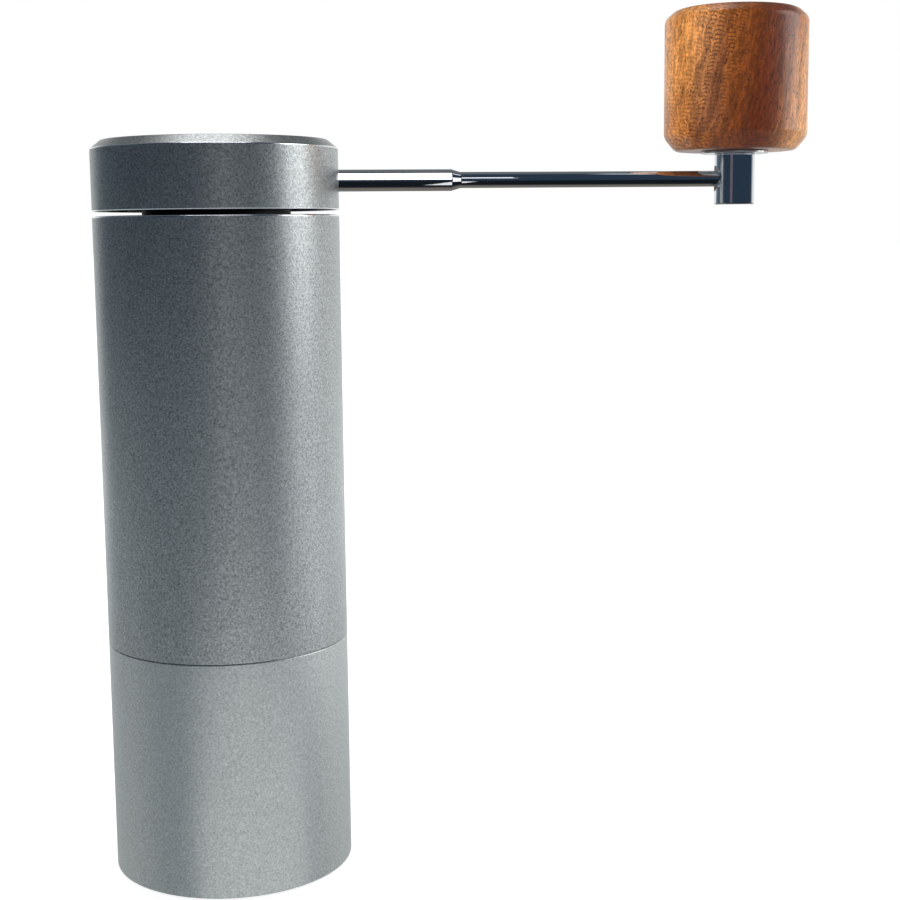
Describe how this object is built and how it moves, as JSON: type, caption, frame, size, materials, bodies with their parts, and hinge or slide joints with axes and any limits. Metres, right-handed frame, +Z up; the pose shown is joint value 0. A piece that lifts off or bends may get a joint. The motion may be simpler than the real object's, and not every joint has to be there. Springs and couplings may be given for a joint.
{
  "type": "hand crank coffee grinder",
  "caption": "Slim cylindrical hand coffee grinder with a pull-off catch cup, conical burrs, and a lift-off crank with a thin steel arm and a turning wooden knob.",
  "frame": {"origin": "on the body's axis, in the plane the grinder stands on", "axes": "+Z up along the body's axis, +X along the crank arm towards the knob"},
  "size_m": [0.156, 0.052, 0.1855],
  "materials": {
    "body_aluminium": "bead-blasted and anodised, grey",
    "inner_aluminium": "fine turned",
    "dial_aluminium": "anodised, black",
    "burr_steel": "ground, hardened",
    "polished_steel": "polished",
    "turned_steel": "turned",
    "bearing_steel": "ground",
    "spring_steel": "drawn wire",
    "screw_steel": "dark",
    "magnet_nickel": "nickel plated",
    "black_plastic": "moulded, fine grain",
    "bush_brass": "turned",
    "knob_wood": "satin varnish",
    "pad_rubber": "matt"
  },
  "bodies": {
    "cup": {"catch_cup": "body_aluminium", "base_pad": "pad_rubber", "cup_ring": "turned_steel"},
    "housing": {"body_tube": "body_aluminium", "burr_carrier": "inner_aluminium", "upper_bridge": "inner_aluminium", "bridge_snap_ring": "spring_steel", "outer_burr": "burr_steel", "base_ring": "black_plastic", "base_ring_screws": "screw_steel", "cup_magnets": "magnet_nickel", "upper_bearing_outer_race": "bearing_steel", "lower_bearing_outer_race": "bearing_steel", "upper_bearing_shields": "turned_steel", "lower_bearing_shields": "turned_steel"},
    "shaft": {"main_shaft": "turned_steel", "shaft_clip": "spring_steel", "dial_clip": "spring_steel", "burr_spring": "spring_steel", "upper_bearing_inner_race": "bearing_steel", "lower_bearing_inner_race": "bearing_steel"},
    "upper_cage": {"upper_bearing_balls": "bearing_steel", "upper_bearing_cage": "turned_steel"},
    "lower_cage": {"lower_bearing_balls": "bearing_steel", "lower_bearing_cage": "turned_steel"},
    "burr": {"inner_burr": "burr_steel", "index_plate": "burr_steel"},
    "dial": {"grind_dial": "dial_aluminium", "detent_balls": "bearing_steel", "detent_springs": "spring_steel"},
    "crank": {"cap_shell": "body_aluminium", "cap_badge": "dial_aluminium", "lid_plug": "black_plastic", "plug_screws": "screw_steel", "drive_hub": "turned_steel", "lid_magnet": "magnet_nickel", "hub_screw": "screw_steel", "crank_arm": "polished_steel", "knob_post": "polished_steel", "post_set_screw": "screw_steel", "knob_washer": "black_plastic", "knob_spindle": "turned_steel"},
    "knob": {"knob": "knob_wood", "knob_bush": "bush_brass"}
  },
  "joints": [
    {"name": "cup_release", "type": "slide", "parent": "cup", "child": "housing", "axis": [0, 0, 1], "range_m": [0, 0.06]},
    {"name": "shaft_spin", "type": "hinge", "parent": "housing", "child": "shaft", "pos_m": [0, 0, 0], "axis": [0, 0, 1], "continuous": true},
    {"name": "upper_cage_spin", "type": "hinge", "parent": "housing", "child": "upper_cage", "pos_m": [0, 0, 0.13], "axis": [0, 0, 1], "continuous": true},
    {"name": "lower_cage_spin", "type": "hinge", "parent": "housing", "child": "lower_cage", "pos_m": [0, 0, 0.0746], "axis": [0, 0, 1], "continuous": true},
    {"name": "burr_shift", "type": "slide", "parent": "shaft", "child": "burr", "axis": [0, 0, 1], "range_m": [-0.0015, 0.00056], "deforming": ["burr_spring"]},
    {"name": "dial_turn", "type": "hinge", "parent": "burr", "child": "dial", "pos_m": [0, 0, 0.0433], "axis": [0, 0, 1], "range_deg": [-720, 270]},
    {"name": "crank_lift", "type": "slide", "parent": "shaft", "child": "crank", "axis": [0, 0, 1], "range_m": [0, 0.05]},
    {"name": "knob_spin", "type": "hinge", "parent": "crank", "child": "knob", "pos_m": [0.1143, 0, 0.155], "axis": [0, 0, 1], "continuous": true}
  ],
  "couplings": [
    {"joint": "upper_cage_spin", "follows": "shaft_spin", "ratio": 0.39048},
    {"joint": "lower_cage_spin", "follows": "shaft_spin", "ratio": 0.39048},
    {"joint": "dial_turn", "follows": "burr_shift", "rad_per_m": 8377.6}
  ]
}
